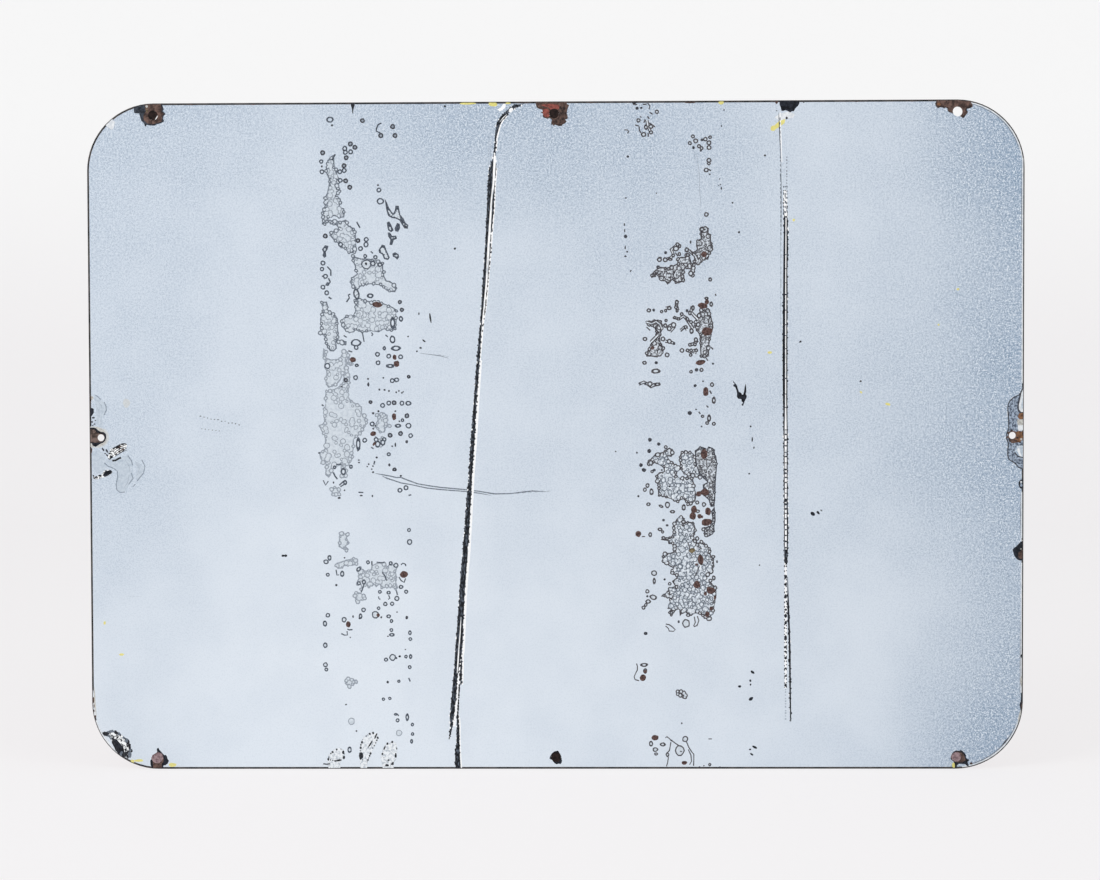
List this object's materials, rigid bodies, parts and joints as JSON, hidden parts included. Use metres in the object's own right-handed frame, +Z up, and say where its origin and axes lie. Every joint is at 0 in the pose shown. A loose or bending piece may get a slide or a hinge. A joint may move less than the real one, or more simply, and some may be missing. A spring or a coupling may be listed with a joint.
{
  "type": "door kick sign",
  "caption": "Flat enamelled sheet-steel sign plate with rounded corners and fixing holes near its edges, shown from its unlettered door side, with chipped hole rims and long scrapes.",
  "frame": {"origin": "centre of the face that lies against the door", "axes": "+X across the plate to the right as that face is looked at, +Z up, +Y through the sheet from the door side to the front"},
  "size_m": [0.61, 0.0017, 0.436],
  "materials": {
    "enamel": "glossy fused enamel, speckled pale grey over blue, chipped to a dark ground coat and bare rusty steel"
  },
  "bodies": {
    "root": {"sign_plate": "enamel"}
  },
  "joints": []
}
